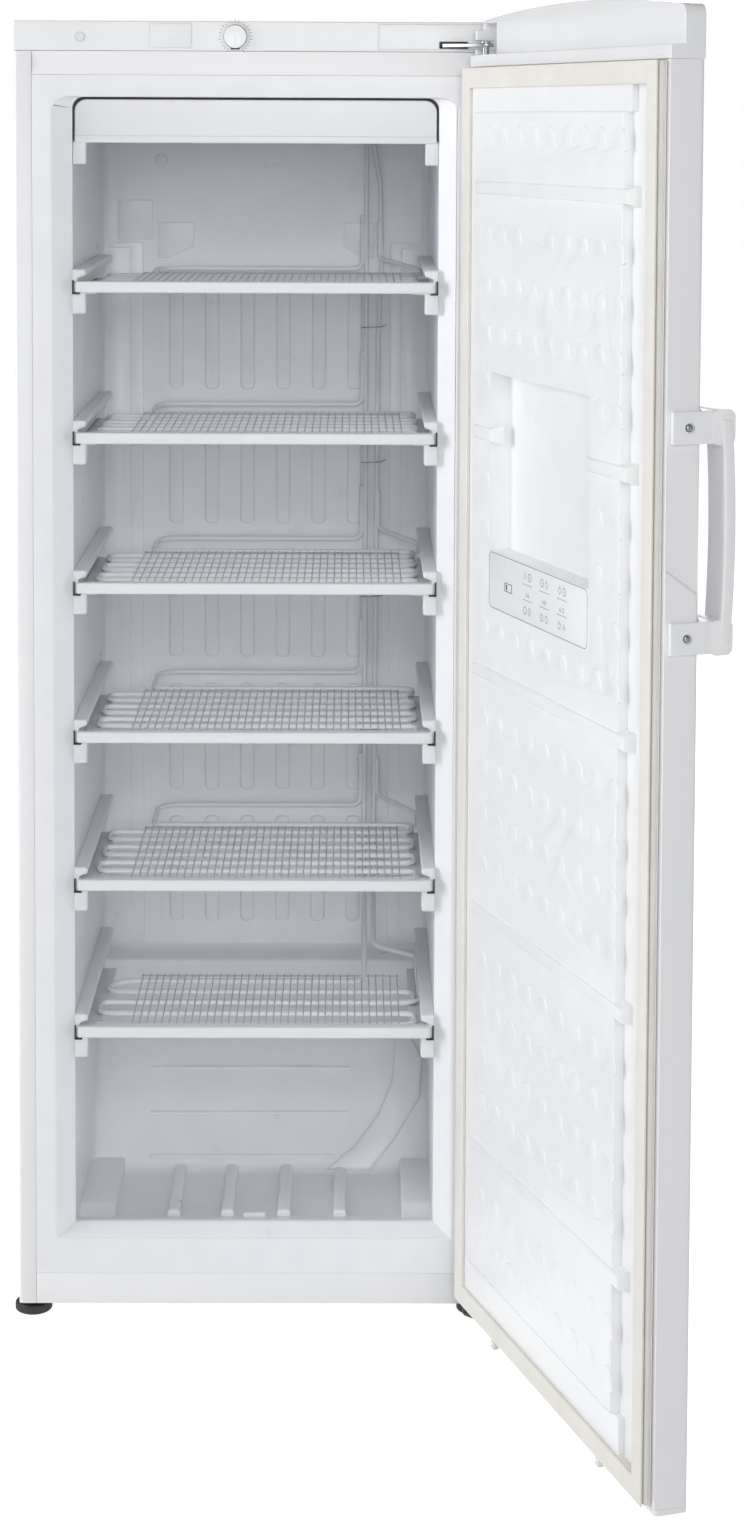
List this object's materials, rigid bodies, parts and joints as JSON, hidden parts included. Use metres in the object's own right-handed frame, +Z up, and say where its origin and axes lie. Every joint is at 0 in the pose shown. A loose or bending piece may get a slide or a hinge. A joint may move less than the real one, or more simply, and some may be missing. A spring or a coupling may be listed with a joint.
{
  "type": "upright freezer",
  "caption": "Upright freezer with a hinged foam-filled door and side handle, a moulded liner with evaporator shelves, a control strip on top and levelling feet.",
  "frame": {"origin": "at floor level, under the centre of the box that bounds the freezer with its door open at the rest angle", "axes": "+Z up, +Y towards the back of the cabinet, +X to the right seen from the front"},
  "size_m": [0.8394, 1.1356, 1.665],
  "materials": {
    "painted_steel": "satin",
    "zinc_coated_steel": "satin",
    "white_plastic": "satin",
    "liner_plastic": "satin",
    "grey_plastic": "satin",
    "polyurethane_foam": "matte",
    "gasket_rubber": "matte",
    "black_plastic": "satin",
    "black_paint": "satin",
    "coated_tube": "satin",
    "label_film": "satin",
    "chromed_steel": "polished"
  },
  "bodies": {
    "cabinet": {"side_panel_left": "painted_steel", "side_panel_right": "painted_steel", "top_panel": "white_plastic", "back_panel": "zinc_coated_steel", "base_pan": "zinc_coated_steel", "front_top_rail": "painted_steel", "front_bottom_rail": "painted_steel", "inner_liner": "liner_plastic", "insulation_foam": "polyurethane_foam", "compartment_sheet": "zinc_coated_steel", "control_fascia": "white_plastic", "hinge_cover": "white_plastic", "dial_bezel": "grey_plastic", "thermostat_body": "black_plastic", "pilot_lamp": "grey_plastic", "blank_plate": "white_plastic", "upper_hinge_bracket": "zinc_coated_steel", "upper_hinge_pin": "chromed_steel", "lower_hinge_bracket": "zinc_coated_steel", "lower_hinge_pin": "chromed_steel", "evaporator_front_cover": "grey_plastic", "ceiling_evaporator": "coated_tube", "shelf_frame_1": "grey_plastic", "shelf_frame_2": "grey_plastic", "shelf_frame_3": "grey_plastic", "shelf_frame_4": "grey_plastic", "shelf_frame_5": "grey_plastic", "shelf_frame_6": "grey_plastic", "evaporator_tube_1": "coated_tube", "evaporator_tube_2": "coated_tube", "evaporator_tube_3": "coated_tube", "evaporator_tube_4": "coated_tube", "evaporator_tube_5": "coated_tube", "evaporator_tube_6": "coated_tube", "wire_grid_1": "coated_tube", "wire_grid_2": "coated_tube", "wire_grid_3": "coated_tube", "wire_grid_4": "coated_tube", "wire_grid_5": "coated_tube", "wire_grid_6": "coated_tube", "riser_pipe_left": "coated_tube", "riser_pipe_right": "coated_tube", "compressor": "black_paint", "condenser": "black_paint", "rear_foot_left": "black_plastic", "rear_foot_right": "black_plastic"},
    "door": {"door_outer_shell": "painted_steel", "door_foam": "polyurethane_foam", "door_inner_liner": "liner_plastic", "door_gasket": "gasket_rubber", "door_top_cap": "white_plastic", "door_bottom_cap": "white_plastic", "door_handle": "white_plastic", "handle_screw_lower": "chromed_steel", "handle_screw_upper": "chromed_steel", "label_plate": "label_film"},
    "dial": {"thermostat_dial": "white_plastic"},
    "left_foot": {"front_foot_left": "black_plastic"},
    "right_foot": {"front_foot_right": "black_plastic"}
  },
  "joints": [
    {"name": "door_hinge", "type": "hinge", "parent": "cabinet", "child": "door", "pos_m": [0.17196, -0.00329, 0.8], "axis": [0, 0, 1], "range_deg": [-108, 12]},
    {"name": "dial_turn", "type": "hinge", "parent": "cabinet", "child": "dial", "pos_m": [-0.13754, 0.02521, 1.632], "axis": [0, -1, 0], "range_deg": [-135, 135]},
    {"name": "left_foot_turn", "type": "hinge", "parent": "cabinet", "child": "left_foot", "pos_m": [-0.39654, 0.05121, 0.009], "axis": [0, 0, 1], "continuous": true},
    {"name": "right_foot_turn", "type": "hinge", "parent": "cabinet", "child": "right_foot", "pos_m": [0.17146, 0.05121, 0.009], "axis": [0, 0, 1], "continuous": true}
  ]
}
